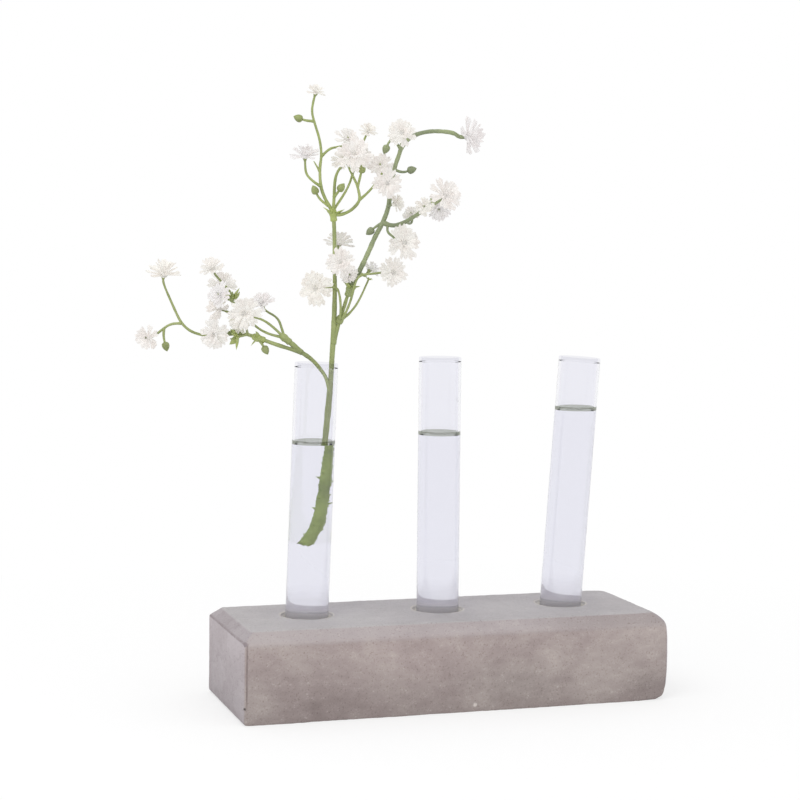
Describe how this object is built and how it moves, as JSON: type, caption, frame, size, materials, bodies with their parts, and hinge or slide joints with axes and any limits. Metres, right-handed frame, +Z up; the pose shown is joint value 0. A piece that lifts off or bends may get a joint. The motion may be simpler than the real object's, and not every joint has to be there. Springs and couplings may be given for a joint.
{
  "type": "test tube vase",
  "caption": "Bud vase: a cast concrete block with sockets in a row, round-bottomed glass tubes standing in them, and a sprig of moulded white baby's breath.",
  "frame": {"origin": "centre of the block's underside, on the table", "axes": "X along the block and the row of tubes, front towards -Y, Z up"},
  "size_m": [0.2444, 0.071, 0.2856],
  "materials": {
    "concrete": "fine cast concrete, matt, with small pinholes",
    "tube_glass": "clear, polished",
    "olive_plastic": "satin moulded plastic",
    "green_plastic": "satin moulded plastic",
    "white_plastic": "matt, slightly translucent",
    "wire": "plain steel wire"
  },
  "bodies": {
    "block": {"concrete_block": "concrete"},
    "left_tube": {"glass_tube_left": "tube_glass"},
    "middle_tube": {"glass_tube_middle": "tube_glass"},
    "right_tube": {"glass_tube_right": "tube_glass"},
    "sprig": {"main_stem": "olive_plastic", "stem_wire": "wire", "left_tip_spray": "green_plastic", "left_fork_spray": "green_plastic", "top_spray": "green_plastic", "centre_spray": "green_plastic", "right_spray": "green_plastic", "head_far_left_upper": "white_plastic", "head_far_left_lower": "white_plastic", "head_left_top": "white_plastic", "head_left_upper": "white_plastic", "head_left_side": "white_plastic", "head_left_middle": "white_plastic", "head_left_low": "white_plastic", "head_left_front": "white_plastic", "head_left_rear": "white_plastic", "head_left_fork": "white_plastic", "head_top_tip": "white_plastic", "head_top_left": "white_plastic", "head_top_right": "white_plastic", "head_top_far": "white_plastic", "head_top_centre": "white_plastic", "head_top_low": "white_plastic", "head_top_back": "white_plastic", "head_top_side": "white_plastic", "head_right_upper": "white_plastic", "head_right_tip": "white_plastic", "head_right_front": "white_plastic", "head_right_small": "white_plastic", "head_right_outer": "white_plastic", "head_right_low": "white_plastic", "head_right_inner": "white_plastic", "head_right_nub": "white_plastic", "head_right_lower": "white_plastic", "head_centre_left": "white_plastic", "head_centre_front": "white_plastic", "head_centre_small": "white_plastic", "head_centre_back": "white_plastic", "head_centre_right": "white_plastic", "head_centre_pale": "white_plastic"}
  },
  "joints": [
    {"name": "left_tube_lift", "type": "slide", "parent": "block", "child": "left_tube", "axis": [0.0255, -0.0083, 0.9996], "range_m": [0, 0.05]},
    {"name": "middle_tube_lift", "type": "slide", "parent": "block", "child": "middle_tube", "axis": [-0.0054, 0.0017, 1], "range_m": [0, 0.05]},
    {"name": "right_tube_lift", "type": "slide", "parent": "block", "child": "right_tube", "axis": [0.0535, -0.0174, 0.9984], "range_m": [0, 0.05]},
    {"name": "sprig_lift", "type": "slide", "parent": "left_tube", "child": "sprig", "axis": [0.0255, -0.0083, 0.9996], "range_m": [0, 0.1]}
  ]
}
